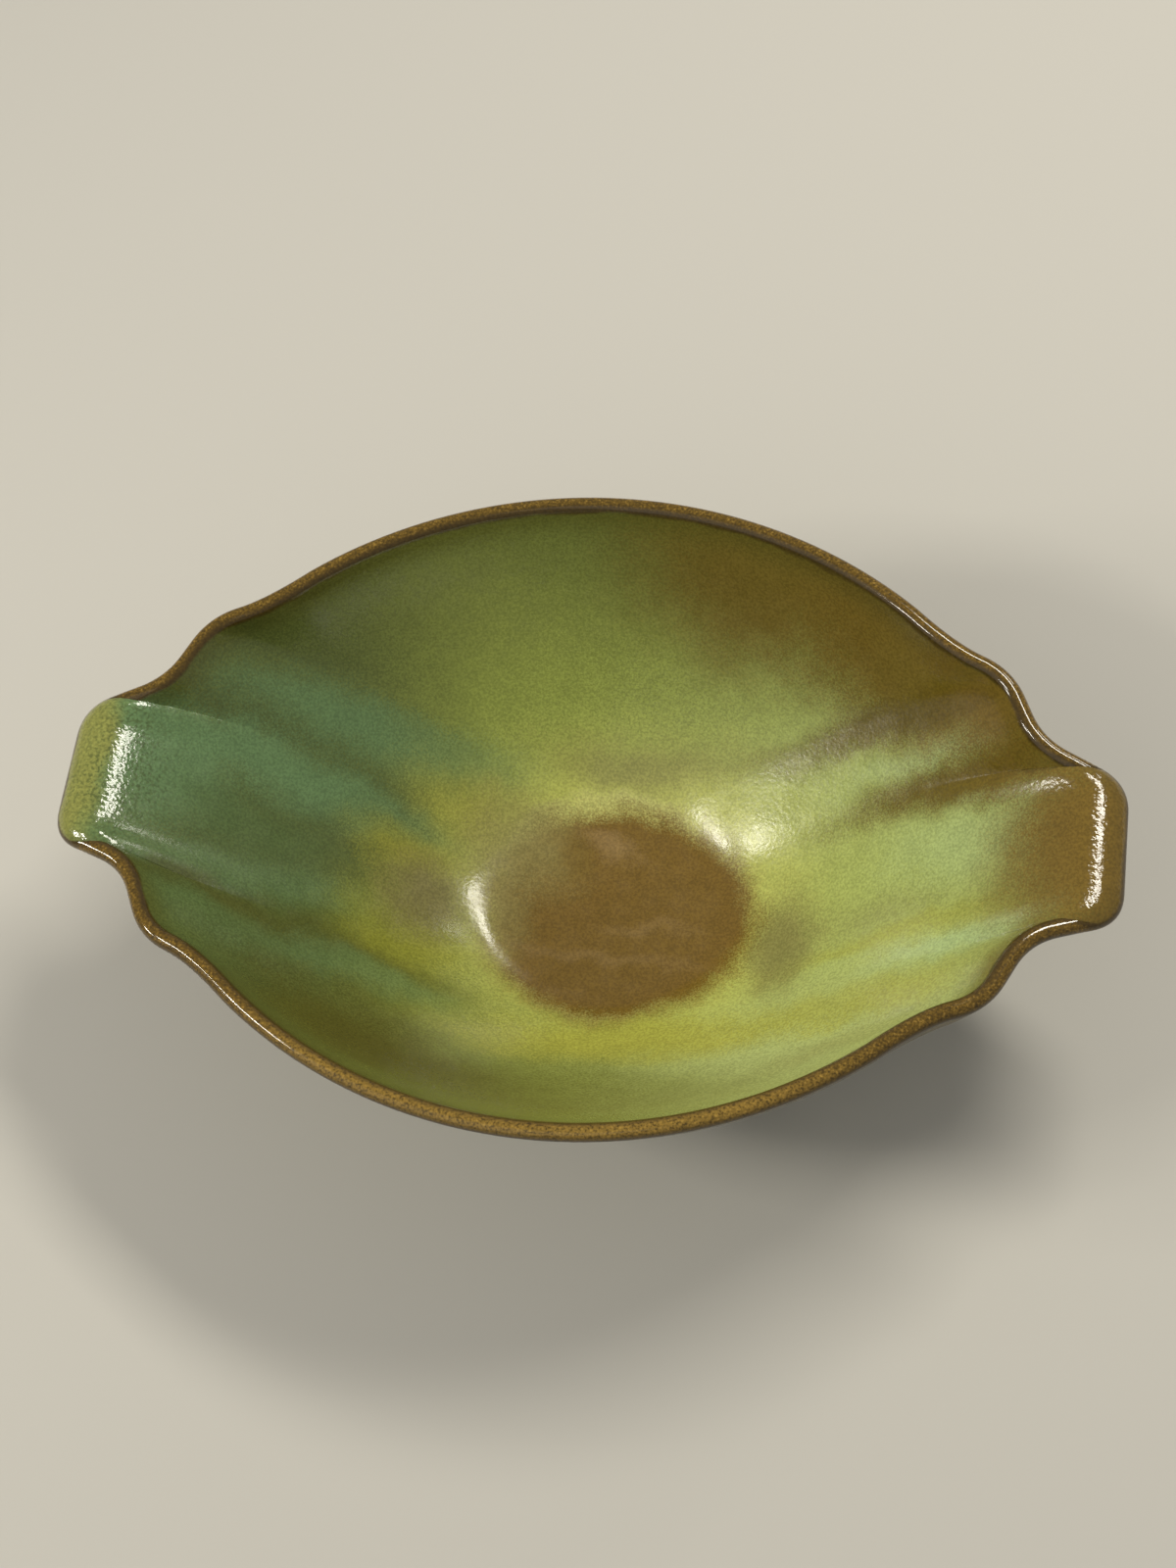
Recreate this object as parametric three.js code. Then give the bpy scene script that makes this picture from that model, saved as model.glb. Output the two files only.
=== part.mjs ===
// Deep oval serving dish of glazed pottery, in millimetres.
// Its two ends step in to a pair of fluted handles whose lips turn over.
// The origin is on the table under the middle of the dish, +X runs along its length and +Z is up.
import * as THREE from "three";

// Overall size, measured over the glaze
const LENGTH = 312;
const WIDTH = 204;
const HEIGHT = 90;
const CLAY_WALL = 4.4;
const GLAZE = 0.45;

// Plan of the rim: two long side arcs, a shoulder at each corner and a handle at each end
const SIDE_ARC_RADIUS = 149;
const HANDLE_WIDTH = 43;
const HANDLE_ROOT_WIDTH = 63;
const HANDLE_LENGTH = 25;
const SHOULDER_WIDTH = 105;
const SHOULDER_FROM_END = 35;
const SIDE_ARC_FROM_END = 52;
const HANDLE_CORNER_EASE = 9;
const HANDLE_ROOT_EASE = 8;
const SHOULDER_EASE = 9;
const FLUTE_EASE = 8.5;
const SIDE_ARC_EASE = 16;

// Slope of the wall below the rim, in degrees, and how far down the wall each slope holds
const SIDE_SLOPE = 72;
const SIDE_HOLD = 32;
const ROOT_SLOPE = 50;
const ROOT_HOLD = 12;
const HANDLE_SLOPE = 18;
const HANDLE_HOLD = 14;

// Top of the wall: straight under the rim at the sides, and turned over into a lip at the handles
const LIP_SLOPE = -50;
const LIP_ARM = 6.5;
const RIM_ARM = 2;
const HANDLE_DROP = 8;
const HANDLE_DROP_POWER = 6;

// Flat oval well in the bottom, and how the flutes fan out round it and fade on their way down the wall
const WELL_LENGTH = 77;
const WELL_WIDTH = 60;
const WELL_EDGE = 21.5;
const FLUTE_FAN = 4.1;
const FLUTE_REACH = 18;
const FLUTE_FADE = 0.95;
const FLUTE_RUN = 0.45;

// Oval foot ring, and the bare band at the bottom of it
const FOOT_HEIGHT = 3.2;
const FOOT_RING_WIDTH = 6;
const BARE_FOOT = 1.2;

// Rings of points as shares of the wall's curve and of the lip's, and steps round a quarter of the rim
const WALL_RINGS = [0.08, 0.18, 0.32, 0.5, 0.68, 0.84, 1];
const LIP_RINGS = [0.45];
const FOOT_TOP_SHARE = 0.15;
const FLOOR_RING_SHARE = 0.5;
const QUARTER_STEPS = [2, 3, 1, 2, 1, 3, 1, 2, 5];
const RIM_STEPS = 4;

const HALF_SHELL = CLAY_WALL / 2;
const HALF_COATED = HALF_SHELL + GLAZE;
const UNDERSIDE = FOOT_HEIGHT + GLAZE;
const FLOOR = UNDERSIDE + HALF_SHELL;
const UP = new THREE.Vector3(0, 0, 1);

// One quarter of the rim's outer edge, from the middle of a handle to the middle of a long side.
// Each corner is eased by a curve that starts and ends the same distance from it.
function quarterOutline() {
  const end = LENGTH / 2;
  const arcCentre = WIDTH / 2 - SIDE_ARC_RADIUS;
  const arcStart = Math.acos((end - SIDE_ARC_FROM_END) / SIDE_ARC_RADIUS);
  const easedArcStart = arcStart + SIDE_ARC_EASE / SIDE_ARC_RADIUS;
  const onArc = (angle) =>
    new THREE.Vector2(0, arcCentre).add(
      new THREE.Vector2(Math.cos(angle), Math.sin(angle)).multiplyScalar(SIDE_ARC_RADIUS),
    );
  const middle = new THREE.Vector2(end, 0);
  const handleCorner = new THREE.Vector2(end, HANDLE_WIDTH / 2);
  const handleRoot = new THREE.Vector2(end - HANDLE_LENGTH, HANDLE_ROOT_WIDTH / 2);
  const shoulder = new THREE.Vector2(end - SHOULDER_FROM_END, SHOULDER_WIDTH / 2);
  const arcCorner = onArc(arcStart);
  const arcEnd = onArc(easedArcStart);
  const towards = (from, to, distance) => to.clone().sub(from).setLength(distance).add(from);

  const outline = new THREE.Path();
  outline.moveTo(middle.x, middle.y);
  const easeRound = (before, corner, after, ease) => {
    const start = towards(corner, before, ease);
    const finish = towards(corner, after, ease);
    outline.lineTo(start.x, start.y);
    outline.quadraticCurveTo(corner.x, corner.y, finish.x, finish.y);
  };
  easeRound(middle, handleCorner, handleRoot, HANDLE_CORNER_EASE);
  easeRound(handleCorner, handleRoot, shoulder, HANDLE_ROOT_EASE);
  easeRound(handleRoot, shoulder, arcCorner, SHOULDER_EASE);
  const arcApproach = towards(arcCorner, shoulder, FLUTE_EASE);
  outline.lineTo(arcApproach.x, arcApproach.y);
  outline.quadraticCurveTo(arcCorner.x, arcCorner.y, arcEnd.x, arcEnd.y);
  outline.absarc(0, arcCentre, SIDE_ARC_RADIUS, easedArcStart, Math.PI / 2, false);
  return outline;
}

// The wall's middle surface below one point of the rim. The wall leaves the well level and climbs
// outwards, and the lip carries on from its top to the middle of the rim.
function wallCurve(edge, outward) {
  const { lerp, degToRad, smoothstep } = THREE.MathUtils;
  const end = LENGTH / 2;
  const reach = Math.abs(edge.x);
  const fluted = smoothstep(reach, end - SIDE_ARC_FROM_END, end - HANDLE_LENGTH);
  const lipped = smoothstep(reach, end - HANDLE_LENGTH, end);
  const flutedSlope = lerp(SIDE_SLOPE, ROOT_SLOPE, fluted);
  const hold = lerp(lerp(SIDE_HOLD, ROOT_HOLD, fluted), HANDLE_HOLD, lipped);
  const arm = lerp(RIM_ARM, LIP_ARM, lipped);
  const rimHeight = HEIGHT - HALF_COATED - HANDLE_DROP * (reach / end) ** HANDLE_DROP_POWER;
  const rim = new THREE.Vector3(edge.x, edge.y, rimHeight).addScaledVector(outward, -HALF_COATED);

  const round = new THREE.Vector2(edge.x, edge.y * FLUTE_FAN).normalize();
  const well = new THREE.Vector3((round.x * WELL_LENGTH) / 2, (round.y * WELL_WIDTH) / 2, FLOOR);
  const fromWell = new THREE.Vector3(round.x / WELL_LENGTH, round.y / WELL_WIDTH, 0).normalize();
  const wellEdge = well.clone().addScaledVector(fromWell, WELL_EDGE);

  const level = rim.clone().sub(wellEdge).setZ(0).normalize();
  const climb = (slope) =>
    level.clone().multiplyScalar(Math.cos(degToRad(slope))).addScaledVector(UP, Math.sin(degToRad(slope)));
  const wallClimb = climb(lerp(flutedSlope, HANDLE_SLOPE, lipped));
  const lipClimb = climb(lerp(flutedSlope, LIP_SLOPE, lipped));
  const crest = rim.clone().addScaledVector(lipClimb, -arm);
  const wallTop = crest.clone().addScaledVector(wallClimb, -arm);
  const wallHold = wallTop.clone().addScaledVector(wallClimb, -hold);
  return {
    wall: new THREE.CubicBezierCurve3(well, wellEdge, wallHold, wallTop),
    lip: new THREE.QuadraticBezierCurve3(wallTop, crest, rim),
    fromWell,
  };
}

// The wall's curves all the way round, the first quarter mirrored into the other three.
function wallCurves() {
  const quarter = [];
  quarterOutline().curves.forEach((stretch, k) => {
    for (let step = 0; step < QUARTER_STEPS[k]; step += 1) {
      const share = step / QUARTER_STEPS[k];
      quarter.push({ point: stretch.getPoint(share), tangent: stretch.getTangent(share) });
    }
  });
  const side = { point: new THREE.Vector2(0, WIDTH / 2), tangent: new THREE.Vector2(-1, 0) };
  const half = [...quarter, side, ...quarter.slice(1).reverse().map((s) => mirrored(s, -1, 1))];
  const whole = [...half, ...half.map((s) => mirrored(s, -1, -1))];
  return whole.map(({ point, tangent }) =>
    wallCurve(point, new THREE.Vector3(tangent.y, -tangent.x, 0)),
  );
}

function mirrored({ point, tangent }, alongX, alongY) {
  const turn = alongX * alongY;
  return {
    point: new THREE.Vector2(point.x * alongX, point.y * alongY),
    tangent: new THREE.Vector2(tangent.x * alongX * turn, tangent.y * alongY * turn),
  };
}

const walls = wallCurves();

// How much each point of a ring counts in the mean around each other one: the nearer, the more.
function nearness(points) {
  const count = points.length;
  const spans = points.map((point, i) => point.distanceTo(points[(i + 1) % count]));
  const along = [0];
  spans.forEach((span) => along.push(along.at(-1) + span));
  return points.map((point, i) => {
    const weights = points.map((other, j) => {
      const apart = Math.abs(along[i] - along[j]);
      const nearer = Math.min(apart, along[count] - apart) / FLUTE_REACH;
      return Math.exp(-nearer * nearer) * (spans[j] + spans[(j + count - 1) % count]);
    });
    const sum = weights.reduce((total, weight) => total + weight, 0);
    return weights.map((weight) => weight / sum);
  });
}

// Vectors of a ring moved towards the means around them, by which the flutes fade.
function softened(vectors, weights, fade) {
  return vectors.map((vector, i) => {
    const mean = new THREE.Vector3();
    vectors.forEach((other, j) => mean.addScaledVector(other, weights[i][j]));
    return vector.clone().lerp(mean, fade);
  });
}

// The middle surface at one share of the walls or of the lips, with the directions there:
// normal goes into the dish and rise goes up the wall, square to the ring.
function middleRing(part, share) {
  let points = walls.map((sector) => sector[part].getPoint(share));
  let climbs = walls.map((sector) => sector[part].getTangent(share));
  if (part === "wall") {
    const weights = nearness(points);
    const fade = FLUTE_FADE * THREE.MathUtils.smoothstep(1 - share, 0, FLUTE_RUN);
    points = softened(points, weights, fade);
    climbs = softened(climbs, weights, fade);
  }
  return points.map((point, i) => {
    const next = points[(i + 1) % points.length];
    const previous = points[(i + points.length - 1) % points.length];
    const along = next.clone().sub(previous);
    const normal = climbs[i].cross(along).normalize();
    const rise = along.cross(normal).normalize();
    return { point, normal, rise };
  });
}

// A ring of one face of the wall: a positive offset goes into the dish and a negative one out of it.
function faceRing(part, share, offset) {
  return middleRing(part, share).map(({ point, normal }) => point.addScaledVector(normal, offset));
}

// The rounded rim: half circles over the end of the lip, from its inner face to its outer face.
function rimRings(radius) {
  const rings = [];
  for (let step = 0; step <= RIM_STEPS; step += 1) {
    const turn = (Math.PI * step) / RIM_STEPS;
    rings.push(
      middleRing("lip", 1).map(({ point, normal, rise }) =>
        point
          .addScaledVector(normal, radius * Math.cos(turn))
          .addScaledVector(rise, radius * Math.sin(turn)),
      ),
    );
  }
  return rings;
}

// Ovals that follow the well's edge: one inside it, and those of the foot ring.
function floorRing(height) {
  return walls.map(({ wall }) => wall.getPoint(0).multiplyScalar(FLOOR_RING_SHARE).setZ(height));
}

function footRing(height, inset) {
  return faceRing("wall", FOOT_TOP_SHARE, -HALF_SHELL).map((point, i) =>
    point.addScaledVector(walls[i].fromWell, -inset).setZ(height),
  );
}

// The face at one offset from the middle of the well, over the rim and down to the foot ring.
function faceRings(offset) {
  const outerLip = [...LIP_RINGS].reverse();
  const outerWall = WALL_RINGS.filter((share) => share > FOOT_TOP_SHARE).reverse();
  return [
    floorRing(FLOOR + offset),
    faceRing("wall", 0, offset),
    ...WALL_RINGS.map((share) => faceRing("wall", share, offset)),
    ...LIP_RINGS.map((share) => faceRing("lip", share, offset)),
    ...rimRings(offset),
    ...outerLip.map((share) => faceRing("lip", share, -offset)),
    ...outerWall.map((share) => faceRing("wall", share, -offset)),
    faceRing("wall", FOOT_TOP_SHARE, -offset),
  ];
}

// One closed body from rings of points, with a pole at the middle of its first and last ring.
// Each four-sided face is split along its shorter diagonal, so faces that meet are split alike.
function ringBody(rings, firstHeight, lastHeight) {
  const firstPole = new THREE.Vector3(0, 0, firstHeight);
  const lastPole = new THREE.Vector3(0, 0, lastHeight);
  const points = [firstPole, ...rings.flat(), lastPole];
  const count = walls.length;
  const last = points.length - 1;
  const at = (ring, i) => 1 + ring * count + (i % count);
  const faces = [];
  for (let i = 0; i < count; i += 1) {
    faces.push(0, at(0, i), at(0, i + 1));
    for (let ring = 0; ring + 1 < rings.length; ring += 1) {
      const [a, b, c, d] = [at(ring, i), at(ring + 1, i), at(ring + 1, i + 1), at(ring, i + 1)];
      const splitFromA = points[a].distanceTo(points[c]) < points[b].distanceTo(points[d]);
      faces.push(...(splitFromA ? [a, b, c, a, c, d] : [b, c, d, b, d, a]));
    }
    faces.push(last, at(rings.length - 1, i + 1), at(rings.length - 1, i));
  }
  const geometry = new THREE.BufferGeometry().setFromPoints(points).setIndex(faces);
  geometry.computeVertexNormals();
  return geometry;
}

// The fired clay, cast in one piece with its handles and foot ring.
function clayBody() {
  return ringBody(
    [
      ...faceRings(HALF_SHELL),
      footRing(BARE_FOOT, 0),
      footRing(0, 0),
      footRing(0, FOOT_RING_WIDTH),
      footRing(FOOT_HEIGHT, FOOT_RING_WIDTH),
      footRing(UNDERSIDE, FOOT_RING_WIDTH),
      floorRing(UNDERSIDE),
    ],
    FLOOR + HALF_SHELL,
    UNDERSIDE,
  );
}

// The glaze over the inside, the rim and the outside, down to the bare band of the foot ring.
function glazeCoat() {
  return ringBody(
    [
      ...faceRings(HALF_COATED),
      footRing(BARE_FOOT, -GLAZE),
      footRing(BARE_FOOT, 0),
      ...faceRings(HALF_SHELL).reverse(),
    ],
    FLOOR + HALF_COATED,
    FLOOR + HALF_SHELL,
  );
}

// The separate patch of glaze on the underside, inside the foot ring.
function undersideGlaze() {
  return ringBody(
    [
      floorRing(UNDERSIDE),
      footRing(UNDERSIDE, FOOT_RING_WIDTH),
      footRing(FOOT_HEIGHT, FOOT_RING_WIDTH),
      floorRing(FOOT_HEIGHT),
    ],
    UNDERSIDE,
    FOOT_HEIGHT,
  );
}

function piece(name, geometry, color, roughness) {
  const material = new THREE.MeshStandardMaterial({ color, roughness, metalness: 0 });
  const mesh = new THREE.Mesh(geometry, material);
  mesh.name = name;
  return mesh;
}

const dish = new THREE.Group();
dish.add(piece("clay_body", clayBody(), 0x8a5a3c, 0.85));
dish.add(piece("glaze_coat", glazeCoat(), 0x6f7a34, 0.35));
dish.add(piece("underside_glaze", undersideGlaze(), 0x66743f, 0.4));

export default dish;
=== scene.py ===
import math

import bpy
import numpy as np
from mathutils import Matrix, Vector


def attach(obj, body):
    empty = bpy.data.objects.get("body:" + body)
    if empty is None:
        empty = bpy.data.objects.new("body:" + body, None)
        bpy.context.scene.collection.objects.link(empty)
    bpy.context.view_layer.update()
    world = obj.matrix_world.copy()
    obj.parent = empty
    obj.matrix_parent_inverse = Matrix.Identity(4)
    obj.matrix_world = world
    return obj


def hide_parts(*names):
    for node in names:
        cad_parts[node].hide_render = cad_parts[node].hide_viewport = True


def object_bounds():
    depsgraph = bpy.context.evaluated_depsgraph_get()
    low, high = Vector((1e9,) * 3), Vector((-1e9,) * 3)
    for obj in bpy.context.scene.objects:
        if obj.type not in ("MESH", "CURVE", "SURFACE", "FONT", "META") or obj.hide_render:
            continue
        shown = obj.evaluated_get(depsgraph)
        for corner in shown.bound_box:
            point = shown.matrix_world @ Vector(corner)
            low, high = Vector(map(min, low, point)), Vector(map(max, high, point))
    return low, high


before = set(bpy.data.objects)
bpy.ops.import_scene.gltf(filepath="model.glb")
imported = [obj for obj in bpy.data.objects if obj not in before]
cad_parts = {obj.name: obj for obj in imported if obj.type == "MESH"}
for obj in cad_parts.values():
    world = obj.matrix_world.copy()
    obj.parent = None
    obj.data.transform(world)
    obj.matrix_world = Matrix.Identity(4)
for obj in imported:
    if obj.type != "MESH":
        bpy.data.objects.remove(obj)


# Clay body
# Fired brown clay, pressed in one piece with its two handles and its oval foot ring. The wall is
# followed as a middle surface from the well up to the rim, which the clay thickens to both sides.
# It shows only at the bottom of the foot ring, where the glaze was wiped off before firing.
cad_low, cad_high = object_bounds()
length, width, height = cad_high - cad_low
clay_wall = 0.0044
glaze_depth = 0.00045
half_shell = clay_wall / 2
half_coated = half_shell + glaze_depth

side_arc_radius = 0.149
handle_width = 0.043
handle_root_width = 0.063
handle_length = 0.025
shoulder_width = 0.105
shoulder_from_end = 0.035
side_arc_from_end = 0.052
corner_eases = [(0.009, 0.009), (0.008, 0.008), (0.009, 0.009), (0.0085, 0.016)]
station_spacing, corner_steps, arc_steps = 0.0017, 10, 24

side_slope, side_hold = 72, 0.032
root_slope, root_hold = 50, 0.012
handle_slope, handle_hold = 18, 0.014
lip_slope, lip_arm, rim_arm = -50, 0.0065, 0.002
handle_drop, handle_drop_power = 0.008, 6

well_length, well_width, well_edge_width = 0.077, 0.060, 0.0215
flute_fan, flute_reach, flute_fade, flute_run = 4.1, 0.018, 0.95, 0.45
foot_height, foot_ring_width, bare_foot, foot_round = 0.0032, 0.006, 0.0012, 0.0006
foot_round_rings = 4
foot_turns = np.linspace(0, math.pi / 2, foot_round_rings)
seam_reach = 1e-7
foot_top_share, floor_ring_share = 0.15, 0.5
underside = foot_height + glaze_depth
floor = underside + half_shell
up = np.array([0, 0, 1])


def mix(first, second, share):
    return first + (second - first) * share


def unit(vectors):
    return vectors / np.linalg.norm(vectors, axis=-1, keepdims=True)


def smooth(values, low, high):
    share = np.clip((values - low) / (high - low), 0, 1)
    return share * share * (3 - 2 * share)


def bezier(controls, share):
    """The point of a curve at a share of its way, and the direction that it goes in there."""
    while len(controls) > 2:
        controls = [mix(a, b, share) for a, b in zip(controls, controls[1:])]
    start, finish = controls
    return mix(start, finish, share), finish - start


def nearness(points, reach):
    """How much each point of a ring counts in the mean around each other one: the nearer, the more."""
    spans = np.linalg.norm(np.roll(points, -1, 0) - points, axis=1)
    along = np.concatenate([[0], np.cumsum(spans)])
    apart = np.abs(along[:-1, None] - along[None, :-1])
    apart = np.minimum(apart, along[-1] - apart)
    weight = np.exp(-((apart / reach) ** 2)) * (spans + np.roll(spans, 1))
    return weight / weight.sum(1, keepdims=True)


def rim_outline():
    """The rim's outer edge in plan, all the way round, and the level direction out of it."""
    end = length / 2
    arc_centre = np.array([0, width / 2 - side_arc_radius])
    arc_start = math.acos((end - side_arc_from_end) / side_arc_radius)
    eased_start = arc_start + corner_eases[-1][1] / side_arc_radius
    angles = np.concatenate([[arc_start], np.linspace(eased_start, math.pi / 2, arc_steps + 1)])
    arc = arc_centre + side_arc_radius * np.stack([np.cos(angles), np.sin(angles)], 1)
    corners = [
        np.array([end, 0]),
        np.array([end, handle_width / 2]),
        np.array([end - handle_length, handle_root_width / 2]),
        np.array([end - shoulder_from_end, shoulder_width / 2]),
        arc[0],
        arc[1],
    ]
    quarter = []
    here = corners[0]
    for before, corner, after, eases in zip(corners, corners[1:], corners[2:], corner_eases):
        begin = corner + unit(before - corner) * eases[0]
        finish = corner + unit(after - corner) * eases[1]
        line_steps = max(1, round(np.linalg.norm(begin - here) / station_spacing))
        quarter.append(mix(here, begin, np.arange(line_steps)[:, None] / line_steps))
        quarter.append(bezier([begin, corner, finish], np.arange(corner_steps)[:, None] / corner_steps)[0])
        here = finish
    quarter = np.concatenate([*quarter, arc[1:-1]])
    half = np.concatenate([quarter, arc[-1:], quarter[:0:-1] * [-1, 1]])
    edge = np.concatenate([half, -half])
    along = np.roll(edge, -1, 0) - np.roll(edge, 1, 0)
    return edge, unit(np.stack([along[:, 1], -along[:, 0]], 1))


def wall_curves():
    """Control points of the wall and of the lip above it at each station of the rim."""
    edge, outward = rim_outline()
    end = length / 2
    reach = np.abs(edge[:, :1])
    level_zero = np.zeros_like(reach)
    fluted = smooth(reach, end - side_arc_from_end, end - handle_length)
    lipped = smooth(reach, end - handle_length, end)
    fluted_slope = mix(side_slope, root_slope, fluted)
    hold = mix(mix(side_hold, root_hold, fluted), handle_hold, lipped)
    arm = mix(rim_arm, lip_arm, lipped)
    rim_height = height - half_coated - handle_drop * (reach / end) ** handle_drop_power
    rim = np.hstack([edge - outward * half_coated, rim_height])
    round_well = unit(edge * [1, flute_fan])
    well = np.hstack([round_well * [well_length / 2, well_width / 2], level_zero + floor])
    out_of_well = np.hstack([unit(round_well / [well_length, well_width]), level_zero])
    well_edge = well + out_of_well * well_edge_width
    level = unit((rim - well_edge) * [1, 1, 0])

    def climb(slope):
        return level * np.cos(np.radians(slope)) + up * np.sin(np.radians(slope))

    wall_climb = climb(mix(fluted_slope, handle_slope, lipped))
    lip_climb = climb(mix(fluted_slope, lip_slope, lipped))
    crest = rim - lip_climb * arm
    wall_top = crest - wall_climb * arm
    wall_hold = wall_top - wall_climb * hold
    return {"wall": [well, well_edge, wall_hold, wall_top], "lip": [wall_top, crest, rim]}, out_of_well


walls, out_of_well = wall_curves()
wall_rings, lip_rings, rim_rings = 26, 7, 13
wall_shares = np.linspace(0, 1, wall_rings)
lip_shares = np.linspace(0, 1, lip_rings)[1:-1]
rim_turns = np.linspace(0, math.pi, rim_rings)


def middle_ring(part, share):
    """A ring of the wall's middle, with the directions into the dish and up the wall."""
    point, climb = bezier(walls[part], share)
    if part == "wall":
        soft = nearness(point, flute_reach)
        fade = flute_fade * smooth(1 - share, 0, flute_run)
        point = mix(point, soft @ point, fade)
        climb = mix(unit(climb), soft @ unit(climb), fade)
    along = np.roll(point, -1, 0) - np.roll(point, 1, 0)
    inward = unit(np.cross(climb, along))
    return point, inward, unit(np.cross(along, inward))


def face_ring(part, share, offset):
    point, inward, _ = middle_ring(part, share)
    return point + inward * offset


def rim_ring(radius, turn):
    point, inward, rise = middle_ring("lip", 1)
    return point + radius * (inward * math.cos(turn) + rise * math.sin(turn))


def floor_ring(level):
    return walls["wall"][0] * [floor_ring_share, floor_ring_share, 0] + up * level


def foot_ring(level, inset):
    return (face_ring("wall", foot_top_share, -half_shell) - out_of_well * inset) * [1, 1, 0] + up * level


def rounded_foot(turn, inner):
    """A ring of the foot's rounded bottom edge, on its outer or its inner side."""
    inset = foot_round * (1 - math.cos(turn))
    return foot_ring(foot_round * (1 - math.sin(turn)), foot_ring_width - inset if inner else inset)


def skin_rings(offset):
    """One face of the wall: the inside from the well up, the rim, and the outside down to the foot."""
    outer_shares = [share for share in wall_shares if share > foot_top_share]
    return [
        floor_ring(floor + offset),
        *[face_ring("wall", share, offset) for share in wall_shares],
        *[face_ring("lip", share, offset) for share in lip_shares],
        *[rim_ring(offset, turn) for turn in rim_turns],
        *[face_ring("lip", share, -offset) for share in lip_shares[::-1]],
        *[face_ring("wall", share, -offset) for share in outer_shares[::-1]],
        face_ring("wall", foot_top_share, -offset),
    ]


def ring_body(name, rings, first_pole, last_pole):
    """A sheet of squares that is wrapped round ring by ring, and the row and station of its points."""
    stations = len(rings[0])
    rows = np.array([np.tile(up * first_pole, (stations, 1)), *rings, np.tile(up * last_pole, (stations, 1))])
    bpy.ops.object.select_all(action="DESELECT")
    bpy.ops.mesh.primitive_grid_add(x_subdivisions=stations, y_subdivisions=len(rows) - 1, size=2)
    piece = bpy.context.object
    piece.name = piece.data.name = name
    sheet = np.zeros(len(piece.data.vertices) * 3)
    piece.data.vertices.foreach_get("co", sheet)
    across, down = sheet.reshape(-1, 3)[:, 0], sheet.reshape(-1, 3)[:, 1]
    station = np.rint((1 + across) / 2 * stations).astype(int) % stations
    row = np.rint((1 - down) / 2 * (len(rows) - 1)).astype(int)
    piece.data.vertices.foreach_set("co", rows[row, station].ravel())
    piece.data.update()
    return piece, row, station


def sew(piece):
    """Closes the seam and the poles of a piece, and makes its shading smooth."""
    bpy.context.view_layer.objects.active = piece
    bpy.ops.object.mode_set(mode="EDIT")
    bpy.ops.mesh.select_all(action="SELECT")
    bpy.ops.mesh.remove_doubles(threshold=seam_reach)
    bpy.ops.object.mode_set(mode="OBJECT")
    bpy.ops.object.shade_smooth()


def add_node(tree, kind, inputs, **settings):
    """A shader node with its settings, whose inputs are given as values or as sockets to link."""
    node = tree.nodes.new(kind)
    for setting, value in settings.items():
        setattr(node, setting, value)
    for socket, value in inputs.items():
        if isinstance(value, bpy.types.NodeSocket):
            tree.links.new(value, node.inputs[socket])
        else:
            node.inputs[socket].default_value = value
    return node


def new_material(name):
    """A new material, its node tree and the inputs of its shader."""
    material = bpy.data.materials.new(name)
    material.use_nodes = True
    return material, material.node_tree, material.node_tree.nodes["Principled BSDF"].inputs


# Sockets of a mix node for colours, which share their names with its sockets for values
mix_share, mix_first, mix_second, mix_result = 0, 6, 7, 2


def blend(tree, share, first, second):
    """The colour that is this share of the way from the first colour to the second."""
    inputs = {mix_share: share, mix_first: first, mix_second: second}
    return add_node(tree, "ShaderNodeMix", inputs, data_type="RGBA").outputs[mix_result]


def noise(tree, place, scale, detail):
    return add_node(tree, "ShaderNodeTexNoise", {"Vector": place, "Scale": scale, "Detail": detail}).outputs


def bump(tree, height, distance, strength):
    """The normal of a surface that this height roughens."""
    inputs = {"Height": height, "Distance": distance, "Strength": strength}
    return add_node(tree, "ShaderNodeBump", inputs).outputs["Normal"]


clay_rings = [
    *skin_rings(half_shell),
    foot_ring(bare_foot, 0),
    *[rounded_foot(turn, inner=False) for turn in foot_turns],
    *[rounded_foot(turn, inner=True) for turn in foot_turns[::-1]],
    foot_ring(foot_height, foot_ring_width),
    foot_ring(underside, foot_ring_width),
    floor_ring(underside),
]
clay_body, _, _ = ring_body("clay", clay_rings, floor + half_shell, underside)
sew(clay_body)

dark_clay = (0.16, 0.075, 0.035, 1)
pale_clay = (0.32, 0.17, 0.09, 1)
clay_roughness = 0.85
grit_scale, grit_detail = 1400, 4
grit_height, grit_strength = 0.0002, 0.5

fired_clay, tree, surface = new_material("fired clay")
place = add_node(tree, "ShaderNodeTexCoord", {}).outputs["Object"]
grit = noise(tree, place, grit_scale, grit_detail)["Fac"]
surface["Roughness"].default_value = clay_roughness
tree.links.new(blend(tree, grit, dark_clay, pale_clay), surface["Base Color"])
tree.links.new(bump(tree, grit, grit_height, grit_strength), surface["Normal"])
clay_body.data.materials.append(fired_clay)
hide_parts("clay_body")
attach(clay_body, "root")


# Glaze coat
# One fused layer of satin glaze over the inside, the rim, the handles and the outside, down to the
# bare band of the foot. It runs off the edges, so it is brown and thin on the rim and the ridges of
# the flutes, and it pools blue-green in the grooves.
outer_skin = skin_rings(half_coated)
inner_skin = skin_rings(half_shell)
glaze_rings = [*outer_skin, foot_ring(bare_foot, -glaze_depth), foot_ring(bare_foot, 0), *inner_skin[::-1]]
glaze_coat, row, station = ring_body("glaze", glaze_rings, floor + half_coated, floor + half_shell)


def mark(piece, name, values):
    """A value of its own for each point of the mesh, which the material reads by this name."""
    attribute = piece.data.attributes.new(name, "FLOAT", "POINT")
    attribute.data.foreach_set("value", values.astype(np.float32))


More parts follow.
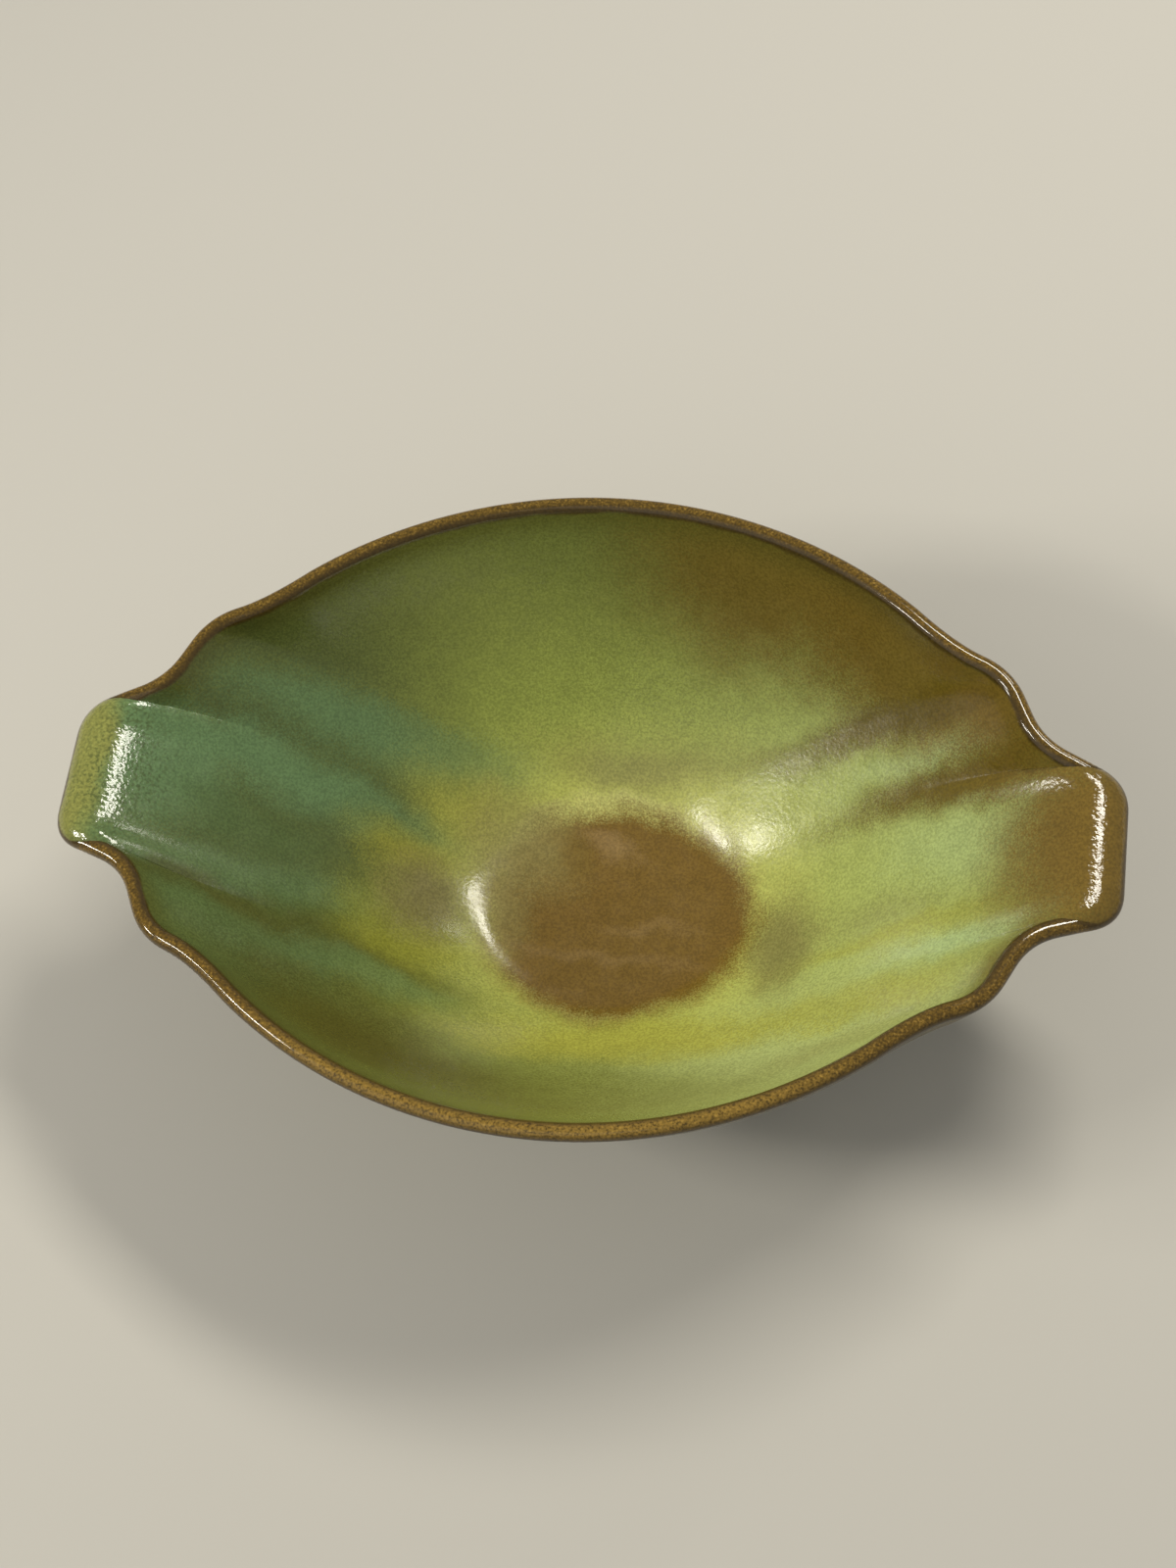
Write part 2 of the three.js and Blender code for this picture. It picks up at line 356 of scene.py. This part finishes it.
# How far each point lies from the crest of the rim along the wall, and whether it lies inside the dish
rim_crest = 1 + len(wall_shares) + len(lip_shares) + len(rim_turns) // 2
steps = np.linalg.norm(np.diff(np.array(glaze_rings), axis=0), axis=2)
travel = np.concatenate([np.zeros((1, steps.shape[1])), np.cumsum(steps, 0)])
from_rim = np.abs(travel - travel[rim_crest])
inside = (np.arange(len(glaze_rings)) <= rim_crest).astype(float)[:, None] + np.zeros_like(from_rim)
ring = np.clip(row - 1, 0, len(glaze_rings) - 1)
mark(glaze_coat, "from_rim", from_rim[ring, station])
mark(glaze_coat, "inside", inside[ring, station])
sew(glaze_coat)


def node_group(name, inputs, outputs):
    """A node group with these sockets, its input sockets and its output sockets."""
    group = bpy.data.node_groups.new(name, "ShaderNodeTree")
    for socket, kind in inputs.items():
        group.interface.new_socket(socket, in_out="INPUT", socket_type="NodeSocket" + kind)
    for socket, kind in outputs.items():
        group.interface.new_socket(socket, in_out="OUTPUT", socket_type="NodeSocket" + kind)
    return group, group.nodes.new("NodeGroupInput").outputs, group.nodes.new("NodeGroupOutput").inputs


def ramp(tree, value, low, high, to_low, to_high):
    """A value that goes smoothly from one level to another as another value goes from low to high."""
    ends = {"Value": value, "From Min": low, "From Max": high, "To Min": to_low, "To Max": to_high}
    return add_node(tree, "ShaderNodeMapRange", ends, interpolation_type="SMOOTHSTEP").outputs["Result"]


def arithmetic(tree, operation, first, second):
    return add_node(tree, "ShaderNodeMath", {0: first, 1: second}, operation=operation).outputs["Value"]


def vector_step(tree, operation, *values):
    """The outputs of one step of arithmetic with vectors."""
    return add_node(tree, "ShaderNodeVectorMath", dict(enumerate(values)), operation=operation).outputs


# A soft oval of colour, seen from above, whose edge breaks up into grains
patch_inputs = {
    "Place": "Vector",
    "Centre": "Vector",
    "Half Size": "Vector",
    "Turn": "Float",
    "Softness": "Float",
    "Grain": "Float",
    "Strength": "Float",
}
patch_group, given, result = node_group("soft patch", patch_inputs, {"Mask": "Float"})
turned = add_node(
    patch_group,
    "ShaderNodeVectorRotate",
    {"Vector": given["Place"], "Center": given["Centre"], "Angle": given["Turn"]},
    rotation_type="Z_AXIS",
    invert=True,
).outputs["Vector"]
aside = vector_step(patch_group, "SUBTRACT", turned, given["Centre"])["Vector"]
share_out = vector_step(patch_group, "DIVIDE", aside, given["Half Size"])["Vector"]
radius = vector_step(patch_group, "LENGTH", share_out)["Value"]
loosened = arithmetic(patch_group, "MULTIPLY", given["Grain"], given["Softness"])
grainy = arithmetic(patch_group, "ADD", radius, loosened)
patch_edge = 1.0
patch_end = arithmetic(patch_group, "ADD", patch_edge, given["Softness"])
patch_start = arithmetic(patch_group, "SUBTRACT", patch_edge, given["Softness"])
mask = ramp(patch_group, grainy, patch_end, patch_start, 0.0, given["Strength"])
patch_group.links.new(mask, result["Mask"])

# Fine cloudy mottling, with dark pinpoints, that every glazed surface has. Here and below, a noise is
# its scale and its detail, and a ramp is the two values that it runs between and its levels at these.
cloud_noise = 150.0, 3.0
speck_noise = 1250.0, 2.0
peel_noise = 760.0, 1.0
cloud_level = 0.3, 0.7, 0.96, 1.04
speck_level = 0.3, 0.7, 0.83, 1.17
mottle_inputs = {"Colour": "Color", "Place": "Vector"}
mottle_outputs = {"Colour": "Color", "Cloud": "Float", "Peel": "Float"}
mottle_group, given, result = node_group("glaze mottle", mottle_inputs, mottle_outputs)
cloud = noise(mottle_group, given["Place"], *cloud_noise)["Fac"]
speck = noise(mottle_group, given["Place"], *speck_noise)["Fac"]
peel = noise(mottle_group, given["Place"], *peel_noise)["Fac"]
clouded = ramp(mottle_group, cloud, *cloud_level)
specked = ramp(mottle_group, speck, *speck_level)
lightness = arithmetic(mottle_group, "MULTIPLY", clouded, specked)
mottled = add_node(mottle_group, "ShaderNodeHueSaturation", {"Value": lightness, "Color": given["Colour"]})
mottle_group.links.new(mottled.outputs["Color"], result["Colour"])
mottle_group.links.new(cloud, result["Cloud"])
mottle_group.links.new(peel, result["Peel"])


def mottle(tree, colour, place):
    """The mottled colour, with the clouds and the dimples that go with it."""
    inputs = {"Colour": colour, "Place": place}
    return add_node(tree, "ShaderNodeGroup", inputs, node_tree=mottle_group).outputs


green = (0.190, 0.218, 0.047, 1)
yellow_green = (0.42, 0.48, 0.135, 1)
leaf_green = (0.33, 0.39, 0.070, 1)
pale_green = (0.43, 0.50, 0.190, 1)
pale_yellow_and_highlight = (0.50, 0.51, 0.115, 1)
teal = (0.128, 0.220, 0.090, 1)
mint = (0.40, 0.52, 0.235, 1)
deep_green = (0.066, 0.090, 0.025, 1)
moss = (0.085, 0.135, 0.040, 1)
olive = (0.33, 0.31, 0.025, 1)
bright_olive = (0.38, 0.37, 0.052, 1)
lip_olive = (0.27, 0.27, 0.062, 1)
dark_olive = (0.082, 0.074, 0.012, 1)
brown = (0.165, 0.104, 0.016, 1)
ridge_brown = (0.135, 0.095, 0.006, 1)
well_brown = (0.165, 0.098, 0.015, 1)
painted_well_reflection = (0.30, 0.20, 0.085, 1)
well_haze = (0.27, 0.245, 0.085, 1)
painted_well_highlight = (0.62, 0.62, 0.24, 1)
painted_rim_sheen = (0.270, 0.168, 0.030, 1)
rim_brown = (0.130, 0.076, 0.009, 1)
# Dark brown of the rim's fine specks, also used as painted shade at the rim's edges
rim_speck_and_shade = (0.055, 0.034, 0.007, 1)
grey_brown = (0.185, 0.160, 0.056, 1)
gold = (0.45, 0.28, 0.055, 1)
outside_green = (0.14, 0.148, 0.070, 1)
outside_pale = (0.21, 0.215, 0.105, 1)

# Colour, centre and half size in millimetres, turn in degrees, softness of the edge and strength
glaze_patches = [
    (yellow_green, (55, 5), (80, 70), 0, 0.60, 0.85),
    (leaf_green, (-18, 50), (46, 30), 0, 0.70, 0.55),
    (pale_green, (73, -55), (50, 26), 16, 0.60, 0.8),
    (deep_green, (-100, 0), (48, 80), 0, 0.60, 0.8),
    # Painted shade: a darker band down the far wall just under the rim.
    (deep_green, (-10, 106), (90, 18), 0, 0.70, 0.3),
    # Partly the glaze's pale yellow ring round the well, partly a painted highlight band in the fillet round
    # its top.
    (pale_yellow_and_highlight, (4, 3), (58, 47), 0, 0.35, 0.85),
    (teal, (-130, 8), (18, 16), 0, 0.60, 0.9),
    (teal, (-102, 19), (42, 7), -3, 0.7, 0.9),
    (teal, (-76, 38), (36, 8), 2, 0.8, 0.85),
    (teal, (-100, -17), (45, 6), 4, 0.8, 0.5),
    (teal, (-90, 11), (16, 5), -5, 0.8, 0.6),
    (moss, (-106, -2), (20, 9), -6, 0.8, 0.7),
    (olive, (-62, 6), (14, 7), -8, 0.9, 0.6),
    (olive, (-61, -20), (15, 18), 10, 0.7, 0.5),
    (bright_olive, (12, -47), (48, 9), 3, 0.7, 0.8),
    # Partly the glaze's light olive, partly a painted highlight halo at the upper left of the well.
    (bright_olive, (-43, 24), (18, 9), -25, 0.9, 0.7),
    (teal, (-108, -39), (32, 12), -22, 0.8, 0.4),
    (dark_olive, (-56, -68), (42, 14), -22, 0.8, 1.0),
    (dark_olive, (-95, -31), (44, 4), -6, 0.9, 0.7),
    (teal, (-66, -39), (24, 5), -10, 0.8, 0.5),
    (grey_brown, (85, -10), (18, 6), 0, 0.9, 0.3),
    (olive, (92, -18), (30, 3), 6, 0.9, 0.45),
    (olive, (96, -40), (18, 4), 17, 0.9, 0.4),
    (mint, (111, -25), (28, 3.2), 14, 0.8, 0.75),
    (mint, (112, 7), (20, 12), 0, 0.8, 0.45),
    (mint, (98, 36), (18, 4), 4, 0.9, 0.5),
    (brown, (52, 84), (46, 18), -13, 0.60, 0.88),
    (brown, (90, 61), (40, 18), -34, 0.55, 0.92),
    (ridge_brown, (86, 48), (36, 5), 5, 0.7, 0.9),
    (ridge_brown, (110, 26), (34, 7), 2, 0.7, 1.0),
    (olive, (76, -40), (26, 7), 12, 0.8, 0.5),
    (brown, (88, -52), (26, 4), 24, 0.8, 0.25),
    (grey_brown, (-56, -5), (11, 12), 0, 0.7, 0.9),
    (grey_brown, (58, -12), (10, 16), 0, 0.7, 0.8),
    (grey_brown, (8, 45), (26, 7), 0, 0.8, 0.55),
    (green, (22, -72), (36, 9), 4, 0.8, 0.5),
    # Painted highlight: a pale arc along the top edge of the well, left showing above the brown of the well.
    (painted_well_highlight, (3, 0), (42, 38), 0, 0.06, 0.5),
    (well_brown, (4.5, -2.5), (45, 36.5), 0, 0.15, 1.0),
    (well_haze, (-30, 19), (17, 13), -25, 0.7, 0.6),
    (well_haze, (-37, 2), (9, 22), 8, 0.8, 0.55),
    # Painted reflections: faint pale streaks of lamplight across the well.
    (painted_well_reflection, (-1, 22), (9, 3), -20, 0.9, 0.5),
    (brown, (-11, 16), (5, 6), 0, 0.8, 0.7),
    (painted_well_reflection, (15, -7), (13, 2.0), -2, 0.9, 0.25),
    (painted_well_reflection, (0, -18), (32, 2.0), -3, 0.9, 0.25),
]

handle_patches = [
    (brown, (149, 0), (28, 42), 0, 0.6, 1.0),
    (brown, (119, 46), (24, 15), -50, 0.7, 1.0),
    (brown, (124, -44), (12, 8), 55, 0.8, 0.7),
    (teal, (-140, 0), (13, 22), 0, 0.5, 0.5),
    (lip_olive, (-153, 0), (11, 30), 0, 0.3, 0.85),
]

# Patches of the same kind, for the painted sheen of the near rim, lighter bronze than the rest of the rim,
# and the speckled crest of the left handle
near_rim_sheen_patch = (0, -95), (95, 32), 0, 0.5, 0.8
left_crest = (-140, 0), (13, 24), 0, 0.6, 0.65

# Noises that the patches, the crest of the left handle, the outside and the rim are broken up by
drift_noise = 24.0, 2.0
ripple_noise = 130.0, 2.0
edge_noise = 1900.0, 2.0
crest_noise = 950.0, 2.0
outside_noise = 30.0, 4.0
wander_noise = 90.0, 4.0
fleck_noise = 1400.0, 2.0
noise_mean = (0.5, 0.5, 0.5)
drift_reach = (0.014, 0.014, 0)
ripple_reach = (0.007, 0.007, 0)
wander_reach = 0.004

# Ramps of the colour, some by the noises and some by the distance from the rim's crest
edge_loosening = 0.25, 0.75, -0.35, 0.35
under_rim_shade = 0.016, 0.004, 0.0, 0.55
crest_speckle = 0.48, 0.62, 0.0, 1.0
outside_clouds = 0.35, 0.68, 0.0, 1.0
outside_browning = 0.030, 0.006, 0.0, 0.85
gold_flecks = 0.52, 0.72, 0.0, 0.45
dark_flecks = 0.50, 0.34, 0.0, 0.75
painted_rim_edge_shade = 0.0006, 0.0032, 0.0, 0.9
rim_band = 0.0034, 0.0018, 0.0, 1.0

# Ramps of the roughness and of the fine dimples, which change at the rim and at the ends of the dish
satin_roughness = 0.3, 0.7, 0.18, 0.26
rim_gloss = 0.003, 0.012, 0.4, 1.0
end_gloss = 0.128, 0.142, 1.0, 0.6
rim_polish = 0.002, 0.007, 0.2, 1.0
end_beading = 0.124, 0.142, 1.0, 3.2
dimple_height, dimple_strength = 0.0001, 0.5
millimetres_in_metre = 1000

green_glaze, tree, surface = new_material("green brown glaze")
place = add_node(tree, "ShaderNodeTexCoord", {}).outputs["Object"]
edge_grain = ramp(tree, noise(tree, place, *edge_noise)["Fac"], *edge_loosening)
drift = vector_step(tree, "SUBTRACT", noise(tree, place, *drift_noise)["Color"], noise_mean)["Vector"]
ripple = vector_step(tree, "SUBTRACT", noise(tree, place, *ripple_noise)["Color"], noise_mean)["Vector"]
drifted = vector_step(tree, "MULTIPLY_ADD", drift, drift_reach, place)["Vector"]
warped = vector_step(tree, "MULTIPLY_ADD", ripple, ripple_reach, drifted)["Vector"]


def patch_mask(centre, half_size, turn, softness, strength):
    """How strongly a patch shows at each place of the glaze."""
    settings = {
        "Place": warped,
        "Centre": (centre[0] / millimetres_in_metre, centre[1] / millimetres_in_metre, 0),
        "Half Size": (half_size[0] / millimetres_in_metre, half_size[1] / millimetres_in_metre, 1),
        "Turn": math.radians(turn),
        "Softness": softness,
        "Grain": edge_grain,
        "Strength": strength,
    }
    return add_node(tree, "ShaderNodeGroup", settings, node_tree=patch_group).outputs["Mask"]


to_rim = add_node(tree, "ShaderNodeAttribute", {}, attribute_name="from_rim").outputs["Fac"]
to_inside = add_node(tree, "ShaderNodeAttribute", {}, attribute_name="inside").outputs["Fac"]
glaze_colour = green
for colour, *patch in glaze_patches:
    glaze_colour = blend(tree, patch_mask(*patch), glaze_colour, colour)
glaze_colour = blend(tree, ramp(tree, to_rim, *under_rim_shade), glaze_colour, dark_olive)
for colour, *patch in handle_patches:
    glaze_colour = blend(tree, patch_mask(*patch), glaze_colour, colour)
crest_grains = ramp(tree, noise(tree, place, *crest_noise)["Fac"], *crest_speckle)
crest_grains = arithmetic(tree, "MULTIPLY", crest_grains, patch_mask(*left_crest))
glaze_colour = blend(tree, crest_grains, glaze_colour, deep_green)
outside_cloud = ramp(tree, noise(tree, place, *outside_noise)["Fac"], *outside_clouds)
outside_colour = blend(tree, outside_cloud, outside_green, outside_pale)
outside_colour = blend(tree, ramp(tree, to_rim, *outside_browning), outside_colour, brown)
glaze_colour = blend(tree, to_inside, outside_colour, glaze_colour)
rim_wander = arithmetic(tree, "MULTIPLY", noise(tree, place, *wander_noise)["Fac"], wander_reach)
rim_place = arithmetic(tree, "SUBTRACT", to_rim, rim_wander)
rim_grain = noise(tree, place, *fleck_noise)["Fac"]
# Painted sheen: the near rim is lighter bronze than the rest of the rim.
rim_colour = blend(tree, patch_mask(*near_rim_sheen_patch), rim_brown, painted_rim_sheen)
rim_colour = blend(tree, ramp(tree, rim_grain, *gold_flecks), rim_colour, gold)
rim_colour = blend(tree, ramp(tree, rim_grain, *dark_flecks), rim_colour, rim_speck_and_shade)
# Painted shade: the rim is darker towards its inner and outer edges and lighter along its crest.
rim_colour = blend(tree, ramp(tree, to_rim, *painted_rim_edge_shade), rim_colour, rim_speck_and_shade)
glaze_colour = blend(tree, ramp(tree, rim_place, *rim_band), glaze_colour, rim_colour)
mottling = mottle(tree, glaze_colour, place)
tree.links.new(mottling["Colour"], surface["Base Color"])
along_dish = add_node(tree, "ShaderNodeSeparateXYZ", {"Vector": place}).outputs["X"]
from_middle = arithmetic(tree, "ABSOLUTE", along_dish, 0.0)
satin = ramp(tree, mottling["Cloud"], *satin_roughness)
gloss = arithmetic(tree, "MULTIPLY", ramp(tree, to_rim, *rim_gloss), ramp(tree, from_middle, *end_gloss))
tree.links.new(arithmetic(tree, "MULTIPLY", satin, gloss), surface["Roughness"])
beaded = arithmetic(tree, "MULTIPLY", mottling["Peel"], ramp(tree, from_middle, *end_beading))
dimples = arithmetic(tree, "MULTIPLY", beaded, ramp(tree, to_rim, *rim_polish))
tree.links.new(bump(tree, dimples, dimple_height, dimple_strength), surface["Normal"])
glaze_coat.data.materials.append(green_glaze)
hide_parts("glaze_coat")
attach(glaze_coat, "root")


# Underside glaze
# A separate patch of satin grey-green glaze on the recessed underside. The foot ring around it is
# left bare, so that the dish can stand in the kiln without sticking.
patch_rings = [
    floor_ring(underside),
    foot_ring(underside, foot_ring_width),
    foot_ring(foot_height, foot_ring_width),
    floor_ring(foot_height),
]
underside_glaze, _, _ = ring_body("glaze_under", patch_rings[::-1], foot_height, underside)
sew(underside_glaze)

grey_green = (0.13, 0.145, 0.065, 1)
grey_tan = (0.20, 0.175, 0.085, 1)
under_noise = 55.0, 4.0
under_clouds = 0.35, 0.70, 0.0, 1.0
under_roughness = 0.3, 0.7, 0.22, 0.34

under_glaze, tree, surface = new_material("underside glaze")
place = add_node(tree, "ShaderNodeTexCoord", {}).outputs["Object"]
cloudy = ramp(tree, noise(tree, place, *under_noise)["Fac"], *under_clouds)
mottling = mottle(tree, blend(tree, cloudy, grey_green, grey_tan), place)
tree.links.new(mottling["Colour"], surface["Base Color"])
tree.links.new(ramp(tree, mottling["Cloud"], *under_roughness), surface["Roughness"])
tree.links.new(bump(tree, mottling["Peel"], dimple_height, dimple_strength), surface["Normal"])
underside_glaze.data.materials.append(under_glaze)
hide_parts("underside_glaze")
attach(underside_glaze, "root")


# Studio
# A plain pale floor just under the foot, a broad weak fill and two small lamps on the left, a long lamp
# high on the right with a weak one below it, a dim even sky, and a camera that looks down into the dish
# as in the photograph.
floor_size, floor_gap = 12, 0.0001
floor_colour = (0.56, 0.54, 0.49, 1)
floor_roughness = 0.9
bpy.ops.object.select_all(action="DESELECT")
bpy.ops.mesh.primitive_plane_add(size=floor_size, location=(0, 0, -floor_gap))
studio_floor = bpy.context.object
studio_floor.name = "studio_floor"
floor_paint, _, surface = new_material("floor paint")
surface["Base Color"].default_value = floor_colour
surface["Roughness"].default_value = floor_roughness
studio_floor.data.materials.append(floor_paint)

# How far the camera looks down, is turned and is rolled, and where it stands from the middle of the rim
view_rise, view_turn, view_roll = math.radians(63.42), math.radians(-20.34), math.radians(-14.09)
view_distance = 0.7333
view_aside = Vector((0.00422, 0.00392))
view_centre = Vector((0, 0, 0.0873))
lens, sensor = 58.5, 36
across = Vector((math.cos(view_turn), -math.sin(view_turn), 0))
away = Vector((math.sin(view_turn), math.cos(view_turn), 0))
vertical = Vector((0, 0, 1))
view_up = away * math.sin(view_rise) + vertical * math.cos(view_rise)
forward = away * math.cos(view_rise) - vertical * math.sin(view_rise)
image_right = across * math.cos(view_roll) + view_up * math.sin(view_roll)
image_up = view_up * math.cos(view_roll) - across * math.sin(view_roll)
camera = bpy.data.objects.new("camera", bpy.data.cameras.new("camera"))
camera.data.lens = lens
camera.data.sensor_width = sensor
camera_place = view_centre + across * view_aside.x + view_up * view_aside.y - forward * view_distance
camera_turn = Matrix((image_right, image_up, -forward)).transposed()
camera.matrix_world = Matrix.Translation(camera_place) @ camera_turn.to_4x4()
bpy.context.scene.collection.objects.link(camera)
bpy.context.scene.camera = camera

# Each lamp's direction across the view, away from it and up, then its distance, its size and its power
lamp_colour = (1.0, 0.96, 0.86)
lamps = {
    "left lamp": (Vector((-0.87, 0.12, 0.46)), 1.2, (0.18, 0.14), 2.8),
    "left fill": (Vector((-0.66, -0.40, 0.63)), 1.7, (1.90, 1.90), 4.5),
    "high left lamp": (Vector((-0.73, -0.01, 0.68)), 1.3, (0.30, 0.05), 4.5),
    "overhead lamp": (Vector((0.49, 0.33, 0.81)), 1.3, (0.62, 0.20), 10.5),
    "right lamp": (Vector((0.73, 0.50, 0.47)), 1.2, (0.12, 0.16), 0.8),
}
for name, (direction, distance, size, power) in lamps.items():
    lamp = bpy.data.objects.new(name, bpy.data.lights.new(name, "AREA"))
    lamp.data.shape = "RECTANGLE"
    lamp.data.size, lamp.data.size_y = size
    lamp.data.energy = power
    lamp.data.color = lamp_colour
    towards_lamp = (across * direction.x + away * direction.y + vertical * direction.z).normalized()
    lamp.location = view_centre + towards_lamp * distance
    lamp.rotation_euler = towards_lamp.to_track_quat("Z", "Y").to_euler()
    bpy.context.scene.collection.objects.link(lamp)

sky_colour, sky_strength = (1, 1, 1, 1), 0.26
world = bpy.data.worlds.new("studio")
world.use_nodes = True
sky = world.node_tree.nodes["Background"].inputs
sky["Color"].default_value = sky_colour
sky["Strength"].default_value = sky_strength
bpy.context.scene.world = world
bpy.context.scene.view_settings.view_transform = "Standard"
